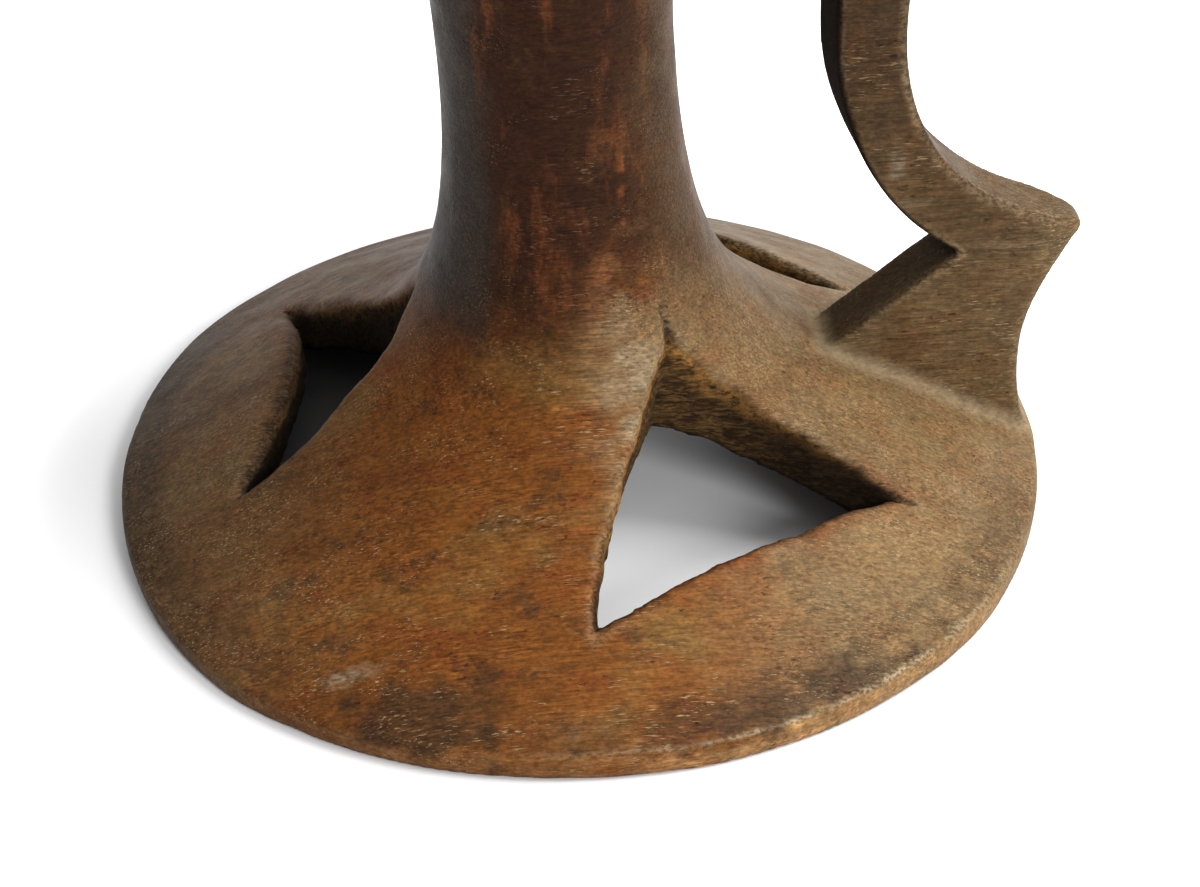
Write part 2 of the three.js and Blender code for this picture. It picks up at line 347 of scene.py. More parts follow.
class Carving:
    """The headrest as one distance field over points in millimetres."""

    # Azimuths of the right corner, left corner and upper point, plan radius of the two lower
    # corners, and how far the lower side bulges.
    WINDOWS = {
        "front": (-90, -34, -56, 57, 1.0),
        "back": (26, 81, 40, 52, 0.0),
        "left": (147.5, 199.5, 180, 55.5, -5.0),
    }

    # How far each window leans towards -X for each millimetre of depth below the outer surface.
    SLANTS = {"front": 0.30, "back": 0.0, "left": 0.12}

    # Knife cuts that run on past the corners of the windows: azimuth and radius of both ends.
    OVERCUTS = [
        ((-36, 53), (-32.5, 61)),
        ((-89.5, 53), (-91, 59)),
        ((-56, 26), (-56, 21.5)),
        ((149, 52), (146, 60)),
        ((198, 52), (202, 60)),
        ((27, 49), (25, 54)),
    ]

    def __init__(self):
        self.windows = {name: window_outline(*sizes) for name, sizes in self.WINDOWS.items()}
        self.handle = handle_outline()
        self.rest_side = rest_side_outline()
        self.rest_plan = rest_plan_outline()
        self.noise = Noise(7)

    def body(self, p):
        """The revolved bell and column, without hollow or windows."""
        x, y, z = p.T
        # The column's axis stands a little to one side of the base's.
        lean = smooth_step(8, 28, z) * (1.0 - smooth_step(96, 120, z)) * (1.7 - 0.031 * z)
        r = np.hypot(x - lean, y)
        d = np.abs(z - WAIST_HEIGHT)
        lower = z < WAIST_HEIGHT
        reach = np.where(lower, LOWER_REACH, UPPER_REACH)
        limit = np.where(lower, WAIST_HEIGHT - CONE_TOP, UPPER_CURVE)
        # A curve that steepens away from the waist, and a straight cone beyond its limit.
        e = np.minimum(d, limit)
        radius = WAIST_RADIUS + FLARE_GAIN * e * e / (reach - e)
        slope = FLARE_GAIN * (2 * e * reach - e * e) / (reach - e) ** 2
        radius = radius + slope * (d - e)
        flare = (r - radius) / np.sqrt(1.0 + slope * slope)
        rim = np.hypot(x, y) - BASE_RADIUS - rim_bulge(np.degrees(np.arctan2(y, x)))
        rim = rim + 0.15 * self.noise(p, (12.0, 12.0, 3.0)) * (1.0 - smooth_step(0.5, 3.0, z))
        solid = smooth_max(flare, rim, 0.8)
        solid = smooth_max(solid, -z, 1.2)
        return np.maximum(solid, z - REST_UNDERSIDE - 5.0), flare

    def window(self, p, flare):
        """Distance from the nearest window, negative inside it, with torn fibres at its edge."""
        x, y = p[:, 0], p[:, 1]
        gap = np.full(len(p), 50.0, np.float32)
        depth = np.clip(-flare, 0.0, 14.0)
        for name, outline in self.windows.items():
            gap = np.minimum(gap, outline(x + self.SLANTS[name] * depth, y))
        fibres = 0.3 * self.noise(p, (2.4, 1.1, 1.1)) + 0.35 * self.noise(p, (6.0, 3.0, 3.0))
        return gap + 0.04 * depth + fibres

    def overcut(self, p, flare):
        """Distance from the nearest of the thin tapering cuts, which are only skin deep."""
        plan = p[:, :2]
        nearest = np.full(len(p), 50.0, np.float32)
        for inner, outer in self.OVERCUTS:
            a = polar(inner[1], inner[0])
            b = polar(outer[1], outer[0])
            along = b - a
            t = np.clip((plan - a) @ along / (along @ along), 0.0, 1.0)
            apart = np.linalg.norm(plan - a - t[:, None] * along, axis=1)
            nearest = np.minimum(nearest, apart + 0.25 * np.clip(-flare, 0, 4) - 1.1 * (1.0 - t))
        return nearest

    def hollow(self, p):
        """The gouged conical hollow under the bell, negative inside it."""
        x, y, z = p.T
        r = np.hypot(x, y)
        ceiling = HOLLOW_SLOPE * (HOLLOW_RADIUS - np.hypot(r, HOLLOW_ROUNDING))
        gouges = 0.5 * self.noise(p, (9.0, 9.0, 9.0)) + 0.25 * self.noise(p, (4.0, 4.0, 4.0))
        return (z - ceiling + gouges) / math.sqrt(1.0 + HOLLOW_SLOPE**2)

    def slab(self, p):
        """The handle: a flat slab whose bar is turned a little and whose beak is rounded."""
        x, y, z = p.T
        mirrored = np.abs(z - WAIST_HEIGHT)
        twist = 0.13 * (1.0 - smooth_step(14, 36, mirrored))
        side = self.handle(x + twist * (y + HANDLE_THICKNESS / 2), z)
        rounding = 4.5 * smooth_step(70, 82, x) ** 2
        rounding = np.where(y > 0, rounding, 0.3 * rounding)
        return smooth_max(side, np.abs(y) - HANDLE_THICKNESS / 2 + rounding, 1.1)

    def rest(self, p):
        """The neck rest, with rounded edges."""
        x, y, z = p.T
        return smooth_max(self.rest_side(x, z), self.rest_plan(x, y), 3.0) - 0.5

    def __call__(self, p):
        """Distance to the whole carving's surface, negative in the wood, flat at the floor."""
        solid, flare = self.body(p)
        azimuth = np.degrees(np.arctan2(p[:, 1], p[:, 0]))
        outside = smooth_step(38, 46, np.hypot(p[:, 0], p[:, 1]))
        lip = 0.7 + (1.6 + 3.6 * near_angle(azimuth, 176, 26)) * outside
        solid = smooth_max(solid, -self.window(p, flare), lip)
        solid = smooth_max(solid, -self.overcut(p, flare), 0.5)
        solid = smooth_max(solid, -self.hollow(p), 1.6)
        fillet = 0.7 + 2.6 * smooth_step(42, 54, p[:, 0])
        solid = smooth_min(solid, self.slab(p), fillet)
        solid = smooth_min(solid, self.rest(p), 4.0)
        carved = 0.16 * self.noise(p, (15.0, 15.0, 15.0)) + 0.06 * self.noise(p, (5.0, 5.0, 5.0))
        return np.maximum(solid + carved, -p[:, 2])


# ------------------------------------------------------------------ meshing


def field_grid(carving):
    """The field on a fine grid, measured only near the surface, and the grid's lowest corner."""
    low = np.array([-REST_HALF_LENGTH, -BASE_RADIUS, 0.0]) - MARGIN
    high = np.array([REST_HALF_LENGTH, BASE_RADIUS, HEIGHT]) + MARGIN
    cell = VOXEL * COARSE
    counts = np.ceil((high - low) / cell).astype(int)
    axes = [low[n] + cell * (np.arange(counts[n]) + 0.5) - VOXEL / 2 for n in range(3)]
    centres = np.stack(np.meshgrid(*axes, indexing="ij"), -1).reshape(-1, 3).astype(np.float32)
    coarse = carving(centres).reshape(counts)
    far = 3.0 * VOXEL
    fine = np.where(coarse < 0, -far, far).astype(np.float32)
    for axis in range(3):
        fine = np.repeat(fine, COARSE, axis=axis)
    half_diagonal = 0.87 * cell
    active = np.argwhere(np.abs(coarse) < half_diagonal + 2.0 * VOXEL + 1.0)
    steps = np.stack(np.meshgrid(*[np.arange(COARSE)] * 3, indexing="ij"), -1).reshape(-1, 3)
    index = (active[:, None, :] * COARSE + steps[None, :, :]).reshape(-1, 3)
    points = (low + VOXEL * index).astype(np.float32)
    values = np.clip(carving(points), -far, far)
    fine[index[:, 0], index[:, 1], index[:, 2]] = values
    return fine, low, far


def mesh_field(carving):
    """Vertices in millimetres, quads and the fine grid of the whole carving."""
    fine, low, far = field_grid(carving)
    grid = openvdb.FloatGrid(far)
    grid.copyFromArray(fine)
    vertices, quads = grid.convertToQuads(0.0)
    return low + VOXEL * vertices.astype(float), quads, Grid(fine, low)


class Grid:
    """The fine grid, read between its points."""

    def __init__(self, values, low):
        self.values = values
        self.low = low

    def __call__(self, p):
        q = np.clip((p - self.low) / VOXEL, 0.0, np.array(self.values.shape) - 1.001)
        cell = q.astype(np.int32)
        t = (q - cell).astype(np.float32)
        total = 0.0
        for corner in range(8):
            bits = [corner >> axis & 1 for axis in range(3)]
            weight = np.prod([t[:, n] if bits[n] else 1.0 - t[:, n] for n in range(3)], axis=0)
            total = total + weight * self.values[tuple(cell[:, n] + bits[n] for n in range(3))]
        return total

    def normals(self, p):
        """Unit normals from the field's slopes."""
        slopes = []
        for axis in range(3):
            step = np.zeros(3)
            step[axis] = VOXEL
            slopes.append(self(p + step) - self(p - step))
        slopes = np.stack(slopes, 1)
        return slopes / np.maximum(np.linalg.norm(slopes, axis=1, keepdims=True), 1e-6)


def new_object(name, vertices_mm, faces):
    mesh = bpy.data.meshes.new(name)
    mesh.from_pydata((vertices_mm / MM).tolist(), [], faces.tolist())
    mesh.update()
    piece = bpy.data.objects.new(name, mesh)
    bpy.context.scene.collection.objects.link(piece)
    return piece


def prism(name, side_view):
    """A closed cutter: a side view (x, z) extruded right across the carving along Y."""
    reach = REST_HALF_LENGTH
    points = np.asarray(side_view, float)
    count = len(points)
    front = np.column_stack([points[:, 0], np.full(count, -reach), points[:, 1]])
    back = np.column_stack([points[:, 0], np.full(count, reach), points[:, 1]])
    mesh = bpy.data.meshes.new(name)
    ring = list(range(count))
    faces = [ring[:], [n + count for n in reversed(ring)]]
    for n in ring:
        m = (n + 1) % count
        faces.append([m, n, n + count, m + count])
    mesh.from_pydata((np.vstack([front, back]) / MM).tolist(), [], faces)
    mesh.update()
    cutter = bpy.data.objects.new(name, mesh)
    bpy.context.scene.collection.objects.link(cutter)
    return cutter


def side_views():
    """For each CAD node, the region of the side view that its piece is cut from."""
    far = REST_HALF_LENGTH + 20
    root_x = 38.2  # where the handle's ends meet the bell and the capital
    root_z = 25.6
    bell_slope = 0.542
    foot_line = [(root_x, root_z), (far, root_z - bell_slope * (far - root_x))]
    capital_reach = 80.0
    skin = 0.9  # the seam lies this far under the neck rest
    under = arc_points(REST_UNDERSIDE - skin, HEIGHT - REST_TIP - REST_UNDERSIDE, REST_HALF_LENGTH)
    under = [tuple(q) for q in under if abs(q[0]) < capital_reach]
    left_under = [q for q in under if q[0] < root_x]
    right_under = [q for q in under if q[0] > root_x]
    seam = (root_x, float(np.interp(root_x, *zip(*under))))
    apart = 30.0  # wider than the column and clear of the handle
    return {
        "base_bell": [(-far, -9), (far, -60), foot_line[1], foot_line[0]]
        + [(root_x, COLUMN_BOTTOM), (-far, COLUMN_BOTTOM)],
        "column": [(-apart, COLUMN_BOTTOM), (apart, COLUMN_BOTTOM)]
        + [(apart, COLUMN_TOP), (-apart, COLUMN_TOP)],
        "handle_foot": [foot_line[0], foot_line[1], (far, GRIP_BOTTOM), (root_x, GRIP_BOTTOM)],
        "handle_grip": [(root_x, GRIP_BOTTOM), (far, GRIP_BOTTOM), (far, GRIP_TOP), (root_x, GRIP_TOP)],
        "handle_head": [(root_x, GRIP_TOP), (far, GRIP_TOP), (far, under[-1][1])]
        + right_under[::-1]
        + [seam],
        "rest_capital": [(-capital_reach, COLUMN_TOP), (root_x, COLUMN_TOP), seam] + left_under[::-1],
        "neck_rest": [(-far, HEIGHT + 20), (-far, under[0][1])]
        + left_under
        + [seam]
        + right_under
        + [(far, under[-1][1]), (far, HEIGHT + 20)],
    }


def apply_modifiers(piece):
    """The mesh that a piece's modifiers make becomes its own mesh."""
    evaluated = piece.evaluated_get(bpy.context.evaluated_depsgraph_get())
    mesh = bpy.data.meshes.new_from_object(evaluated)
    piece.modifiers.clear()
    piece.data = mesh


def cut_piece(name, whole, side_view):
    """The part of the whole carving inside one side view, closed where it is cut."""
    cutter = prism(name + "_cutter", side_view)
    piece = bpy.data.objects.new(name, whole.data.copy())
    piece.data.name = name
    bpy.context.scene.collection.objects.link(piece)
    modifier = piece.modifiers.new("cut", "BOOLEAN")
    modifier.operation = "INTERSECT"
    modifier.solver = "MANIFOLD"
    modifier.object = cutter
    apply_modifiers(piece)
    bpy.data.objects.remove(cutter)
    piece.data.calc_loop_triangles()
    triangles = len(piece.data.loop_triangles)
    if triangles > PIECE_TRIANGLES:
        piece.modifiers.new("thin", "DECIMATE").ratio = PIECE_TRIANGLES / triangles
        apply_modifiers(piece)
    return piece


# ------------------------------------------------------------------ the surface, its wear, and its painted light and shade


# Dark stains on the base: centre, radii and strength.
STAINS = [
    ((-2.7, -69.2, 3.5), (7, 1.8, 3), 0.9),
    ((14, -70, 4), (12, 2.2, 4), 0.8),
    ((-8.7, -62.9, 5), (3.2, 4.2, 5), 0.85),
    ((-26, -66, 6), (14, 7, 5), 0.85),
    ((-48, -50, 6), (9, 9, 5), 0.5),
]

# Pale scuffs on the base and on the handle's front face: centre, radii and strength.
SCUFFS = [
    ((-36.7, -58, 8), (9, 1.1, 5), 0.9),
    ((-4, -71.5, 4), (8, 1.2, 3), 0.8),
    ((-14, -60, 8), (4, 1, 4), 0.6),
    ((50.4, -5.3, 57), (1.8, 3, 4.5), 0.8),
    ((52, -5.3, 50), (5, 3, 1.2), 0.5),
    ((70, -5.3, 41), (6, 3, 0.8), 0.5),
]


def radii_away(p, centre, radii):
    """How many of its own radii a point is from the centre of an ellipsoid."""
    return np.linalg.norm((p - np.array(centre)) / np.array(radii), axis=1)


class Surface:
    """Where each vertex is, how it faces, and which member of the carving it lies on."""

    def __init__(self, p, normal, carving, grid):
        self.p = p
        self.x, self.y, self.z = p.T
        self.r = np.hypot(self.x, self.y)
        self.azimuth = np.degrees(np.arctan2(self.y, self.x))
        self.faces_x = normal[:, 0]
        self.up = normal[:, 2]
        self.flare = carving.body(p)[1]
        self.slab = carving.slab(p)
        self.gap = carving.window(p, self.flare)

        wide = carving.noise(p, (26.0, 26.0, 26.0))
        self.middle = carving.noise(p, (9.0, 6.0, 6.0))
        self.small = carving.noise(p, (3.4, 2.0, 2.0))
        self.streak = carving.noise(p, (4.0, 4.0, 24.0))
        self.ragged = 0.5 * wide + 0.35 * self.middle + 0.25 * self.small

        # How far the surface falls away from, or rises above, a flat one at this distance.
        reach = 1.4
        self.convex = (grid(p - reach * normal) + reach) / reach
        self.concave = (reach - grid(p + reach * normal)) / reach

        self.on_handle = smooth_step(0.9, 0.2, self.slab)
        self.on_rest = smooth_step(1.2, 0.2, carving.rest(p))
        self.on_bell = (1.0 - self.on_handle) * (1.0 - self.on_rest)
        low = self.on_bell * smooth_step(60, 50, self.z)
        near_hollow = smooth_step(1.4, 0.5, np.abs(carving.hollow(p)))
        self.cut = smooth_step(1.0, 0.3, np.abs(self.gap)) * smooth_step(0.4, 1.2, -self.flare) * low
        self.under = near_hollow * smooth_step(0.8, 2.0, -self.flare) * low
        # The left and back of the base, away from the light, where shade is painted into the colour.
        self.shaded = self.towards(172, 50)

    def towards(self, middle, spread):
        return near_angle(self.azimuth, middle, spread)


def column_marks(s):
    """The dark column, a painted sheen on its right, a painted grey sheen on its left, red streaks, and
    painted light on the front of the flare.
    """
    column = smooth_step(26, 50, s.z + 7 * s.ragged - 6 * s.towards(-62, 26)) * s.on_bell
    # Painted sheen: the right side of the column is made lighter, where the light falls.
    painted_sheen = smooth_step(5, 17, s.x + 2 * s.middle) * smooth_step(24, 40, s.z) * s.on_bell
    # Painted sheen: the left side of the column is made grey, like a dim reflection.
    grey_sheen = smooth_step(-9, -16, s.x + 2 * s.middle) * smooth_step(30, 48, s.z) * s.on_bell
    flame = s.towards(-77 + 4 * s.middle, 11) * smooth_step(34, 52, s.z) * smooth_step(96, 66, s.z)
    flame = 0.6 * flame * smooth_step(-0.2, 0.7, s.streak + 0.6 * s.small)
    ember = s.towards(-66 + 2 * s.middle, 2.2) * smooth_step(54, 58, s.z) * smooth_step(72, 66, s.z)
    flame = np.maximum(flame, 0.9 * ember * smooth_step(-0.8, 0.4, s.small))
    # Painted light: the front of the flare is made lighter, where the light falls.
    painted_glow = 1.3 * s.towards(-70, 15) * smooth_step(62, 40, s.z + 8 * s.middle) * smooth_step(18, 27, s.z)
    painted_glow = np.clip(painted_glow * smooth_step(-1.0, 0.4, s.middle + 0.5 * s.small), 0, 1)
    return column, painted_sheen, grey_sheen, flame, painted_glow


def rim_marks(s):
    """The tan side of the rim; the dark of its top and of the stains; and painted shade on the left and
    back of the base.
    """
    side = smooth_step(0.70, 0.45, s.up) * smooth_step(66, 70, s.r) * s.on_bell
    tan_arc = np.clip(s.towards(-66, 26) + 0.45 * s.towards(-125, 20), 0, 1)
    tan = side * tan_arc * smooth_step(-0.9, 0.4, s.small + s.middle)
    band = 0.85 * smooth_step(67.5, 71.5, s.r + 1.5 * s.ragged) * s.towards(-62, 38) * s.on_bell
    darks = [
        band * (1 - side) * smooth_step(-1.1, 0.1, s.small + s.ragged),
        # Painted shade: the left rim, the left of the bell, the back and the far left of the base.
        1.2 * s.shaded * smooth_step(62, 72, s.r) * smooth_step(20, 5, s.z),
        0.85 * s.shaded * smooth_step(24, 50, s.r) * smooth_step(-0.8, 0.4, s.ragged),
        0.9 * s.towards(105, 55) * s.on_bell,
        0.35 * smooth_step(-30, -66, s.x) * s.on_bell,
    ]
    for centre, radii, depth in STAINS:
        far = radii_away(s.p, centre, radii)
        darks.append(depth * smooth_step(1.15, 0.55, far + 0.5 * s.small + 0.3 * s.middle))
    return tan, np.maximum.reduce(darks)


def pale_wear_and_sheen(s):
    """The pale patch over the front window's left lip, partly worn and dusty wood and partly a painted
    highlight, and the scuffs.
    """
    # Partly worn and dusty wood, partly a painted highlight.
    lip = s.towards(-72, 12) * smooth_step(46, 34, s.r) * smooth_step(20, 28, s.r)
    pales = [0.7 * lip * smooth_step(-0.7, 0.6, s.small + s.middle)]
    for centre, radii, depth in SCUFFS:
        far = radii_away(s.p, centre, radii)
        pales.append(depth * smooth_step(1.3, 0.3, far + 0.9 * np.abs(s.small)))
    return np.maximum.reduce(pales) * (1 - s.on_rest)


def window_marks(s):
    """Rust under the front window, golden fibres along its lip that are partly a painted highlight, and
    painted shade on the walls that stay dark.
    """
    rust = smooth_step(4.2, 1.0, np.abs(s.gap) + s.small) * smooth_step(47, 52, s.r)
    rust = rust * s.towards(-60, 34) * s.on_bell
    # The golden lip: partly torn fibres, partly a painted highlight.
    fibres = smooth_step(3.4, 0.6, -s.flare + 0.8 * s.small) * s.cut * smooth_step(54, 44, s.r)
    # Painted shade on the walls of the left window and at the front window's corner towards +X.
    dim_wall = s.cut * np.clip(1.3 * s.towards(176, 40) + s.towards(-34, 12), 0, 1)
    return rust, fibres, dim_wall


def handle_marks(s):
    """Painted shade on the handle's inner face, dust where it meets the bell, and its darker upper part.
    """
    # Painted shade on the upper inner face of the handle, which faces the column.
    inner_shade = s.on_handle * smooth_step(-0.35, -0.75, s.faces_x) * smooth_step(44, 52, s.z)
    shadow_side = s.on_handle * smooth_step(-0.2, -0.5, s.faces_x)
    joint = smooth_step(3.2, 0.2, np.abs(s.slab) + 0.2 * s.small)
    joint = joint * smooth_step(3.2, 0.2, np.abs(s.flare))
    dust = 0.9 * joint * smooth_step(40, 34, s.z)
    high = smooth_step(34, 66, s.z + 5 * s.middle) * s.on_handle
    return np.maximum(inner_shade, 0.55 * shadow_side), dust, high


def edge_wear_and_highlight(s, rust):
    """A painted highlight along the front edge of the rim, and every sharp edge away from the rim, paler
    partly from wear and partly as a painted highlight.
    """
    # Painted highlight: a bright line along the top edge of the front rim.
    line = smooth_step(0.05, 0.12, s.convex) * smooth_step(0.55, 0.68, s.up) * s.on_bell
    line = line * smooth_step(0.92, 0.84, s.up) * smooth_step(70.5, 72, s.r)
    line = line * s.towards(-60, 28) * smooth_step(-1.2, 0.2, s.small)
    off_rim = 1 - 0.85 * smooth_step(66, 69, s.r) * s.on_bell
    # Sharp edges, paler partly from wear and partly as a painted highlight.
    sharp = (0.20 + 0.14 * s.middle) * smooth_step(0.14, 0.30, s.convex) * off_rim
    return np.maximum(sharp, line) * (1 - s.cut) * (1 - 0.9 * s.shaded * s.on_bell) * (1 - rust)


def surface_masks(s):
    """Where the wood is worn, dirty, cut or stained, and where light or shade is painted: one value from
    0 to 1 for each vertex.
    """
    column, painted_sheen, grey_sheen, flame, painted_glow = column_marks(s)
    tan, stain_and_shade = rim_marks(s)
    rust, fibres, dim_wall = window_marks(s)
    painted_shade, dust, high = handle_marks(s)
    right = smooth_step(0, 34, s.x + 0.12 * s.y + 12 * s.ragged)
    dull = 0.62 * smooth_step(-22, -58, s.x - 0.3 * s.y + 14 * s.ragged)
    worn_top = smooth_step(0.5, 0.9, s.up) * smooth_step(66, 20, s.r + 9 * s.ragged)
    # The painted light and sheen lift the column's dark colour at its front and right.
    dark = column * (1 - 0.8 * painted_glow) * (1 - 0.3 * painted_sheen)
    dark = dark + s.on_rest * (0.85 - 0.45 * worn_top) + 0.62 * high
    masks = {
        # The khaki also carries the painted sheen and painted light on the column.
        "khaki": right * (1 - s.on_handle) + dull + s.on_handle + painted_glow + painted_sheen,
        "dark": dark,
        "grey_sheen": grey_sheen,
        "red": flame,
        "rust": rust,
        # Partly torn fibres, partly a painted highlight.
        "lip": fibres,
        # Painted shade on the handle's inner face and on shaded window walls.
        "painted_shade": np.maximum(painted_shade, dim_wall),
        "pale": pale_wear_and_sheen(s),
        "tan": tan,
        # Real stains, and painted shade on the left and back of the base.
        "stain_and_shade": stain_and_shade,
        # Edge wear and painted highlights.
        "edge": edge_wear_and_highlight(s, rust),
        # Painted shade in crevices.
        "cavity": smooth_step(0.10, 0.45, s.concave),
        "cut": s.cut,
        "under": s.under,
        "handle": s.on_handle,
        "dust": dust,
    }
    return {name: np.clip(values, 0, 1) for name, values in masks.items()}


def finish_surface(piece, carving, grid):
    """Smooth shading from the field itself, flat cut faces, and the masks as attributes."""
    mesh = piece.data
    count = len(mesh.vertices)
    flat = np.empty(count * 3, np.float32)
    mesh.vertices.foreach_get("co", flat)
    p = flat.reshape(-1, 3) * MM
    normal = grid.normals(p).astype(np.float32)
    faces = np.empty(len(mesh.polygons) * 3, np.float32)
    mesh.polygons.foreach_get("normal", faces)
    faces = faces.reshape(-1, 3)
    corners = np.empty(len(mesh.loops), np.int32)
    mesh.loops.foreach_get("vertex_index", corners)
    sizes = np.empty(len(mesh.polygons), np.int32)
    mesh.polygons.foreach_get("loop_total", sizes)
    face_of_corner = np.repeat(np.arange(len(sizes)), sizes)
    smooth = normal[corners]
    face = faces[face_of_corner]
    same_way = (smooth * face).sum(1) > 0.6
    shaded = np.where(same_way[:, None], smooth, face)
    mesh.polygons.foreach_set("use_smooth", np.ones(len(sizes), bool))
    mesh.normals_split_custom_set(shaded.tolist())
    surface = Surface(p.astype(np.float32), normal, carving, grid)
    for name, values in surface_masks(surface).items():
        attribute = mesh.attributes.new(name, "FLOAT", "POINT")
        attribute.data.foreach_set("value", values.astype(np.float32))
    mesh.materials.clear()


# ------------------------------------------------------------------ wood


class Shader:
    """Short calls that add nodes to one material."""

    def __init__(self, name):
        self.material = bpy.data.materials.new(name)
        self.material.use_nodes = True
        self.tree = self.material.node_tree
        self.surface = self.tree.nodes["Principled BSDF"]
        coordinate = self.tree.nodes.new("ShaderNodeTexCoord")
        self.position = self.vector("SCALE", coordinate.outputs["Object"], scale=MM)

    def plug(self, socket, value):
        """Link a socket to a node's output, or set it to a number or colour."""
        if isinstance(value, bpy.types.NodeSocket):
            self.tree.links.new(value, socket)
        else:
            socket.default_value = value

    def vector(self, operation, a, b=None, scale=None):
        node = self.tree.nodes.new("ShaderNodeVectorMath")
        node.operation = operation
        self.plug(node.inputs[0], a)
        if b is not None:
            self.plug(node.inputs[1], b)
        if scale is not None:
            node.inputs["Scale"].default_value = scale
        return node.outputs["Vector"]

    def length(self, vector):
        node = self.tree.nodes.new("ShaderNodeVectorMath")
        node.operation = "LENGTH"
        self.plug(node.inputs[0], vector)
        return node.outputs["Value"]

    def across(self, vector):
        """The X part of a vector."""
        node = self.tree.nodes.new("ShaderNodeSeparateXYZ")
        self.plug(node.inputs["Vector"], vector)
        return node.outputs["X"]

    def mask(self, name):
        """One of the values that surface_masks gives each vertex."""
        node = self.tree.nodes.new("ShaderNodeAttribute")
        node.attribute_name = name
        return node.outputs["Fac"]

    def math(self, operation, a, b=0.0):
        node = self.tree.nodes.new("ShaderNodeMath")
        node.operation = operation
        self.plug(node.inputs[0], a)
        self.plug(node.inputs[1], b)
        return node.outputs["Value"]

    def ramp(self, value, low, high, bottom=0.0, top=1.0):
        """A smooth change from bottom to top as the value goes from low to high."""
        node = self.tree.nodes.new("ShaderNodeMapRange")
        node.interpolation_type = "SMOOTHSTEP"
        self.plug(node.inputs["Value"], value)
        for name, number in (("From Min", low), ("From Max", high), ("To Min", bottom), ("To Max", top)):
            self.plug(node.inputs[name], number)
        return node.outputs["Result"]

    def noise(self, size, detail=2.0, rough=0.55, shift=0.0, twist=0.0):
        """Fractal noise whose blotches are about size millimetres along X, Y and Z."""
        stretched = self.vector("DIVIDE", self.position, size)
        moved = self.vector("ADD", stretched, (shift, shift * 1.7, shift * 0.6))
        node = self.tree.nodes.new("ShaderNodeTexNoise")
        self.plug(node.inputs["Vector"], moved)
        node.inputs["Scale"].default_value = 1.0
        node.inputs["Detail"].default_value = detail
        node.inputs["Roughness"].default_value = rough
        node.inputs["Distortion"].default_value = twist
        return node.outputs["Fac"]

    def mix(self, a, b, factor):
        node = self.tree.nodes.new("ShaderNodeMix")
        node.data_type = "RGBA"
        self.plug(node.inputs["Factor"], factor)
        self.plug(node.inputs["A"], a)
        self.plug(node.inputs["B"], b)
        return node.outputs["Result"]

    def mix_value(self, a, b, factor):
        node = self.tree.nodes.new("ShaderNodeMix")
        node.data_type = "FLOAT"
        self.plug(node.inputs["Factor"], factor)
        self.plug(node.inputs["A"], a)
        self.plug(node.inputs["B"], b)
        return node.outputs["Result"]

    def scaled(self, colour, value):
        return self.vector("MULTIPLY", colour, value)


# Colours of the wood, as linear RGBA.
ORANGE = (0.150, 0.058, 0.013, 1)
KHAKI = (0.153, 0.104, 0.051, 1)
OLIVE = (0.132, 0.086, 0.028, 1)
RUSSET = (0.141, 0.042, 0.011, 1)
UMBER = (0.041, 0.025, 0.0138, 1)
COLUMN_BROWN = (0.028, 0.0105, 0.0042, 1)
FLAME = (0.120, 0.040, 0.012, 1)
# Painted grey sheen on the left side of the column.
GREY_SHEEN = (0.034, 0.026, 0.020, 1)
# Pale scuffs, and the lip patch, which is partly a painted highlight.
PALE = (0.245, 0.202, 0.140, 1)
# Golden lip fibres, partly a painted highlight.
GOLDEN = (0.420, 0.215, 0.060, 1)
# Pale edges, from wear and as a painted highlight.
BARE_AND_HIGHLIGHT = (0.380, 0.300, 0.195, 1)
TAN = (0.270, 0.155, 0.066, 1)
FIBRE = (0.390, 0.285, 0.165, 1)
# Dark pores, and painted shade.
PORE_AND_SHADE_BLACK = (0.009, 0.006, 0.004, 1)
DUSTY = (0.280, 0.220, 0.140, 1)
WALL_DARK = (0.036, 0.020, 0.009, 1)
WALL_LIGHT = (0.190, 0.112, 0.042, 1)
INSIDE_DARK = (0.025, 0.017, 0.011, 1)
INSIDE_LIGHT = (0.070, 0.047, 0.028, 1)


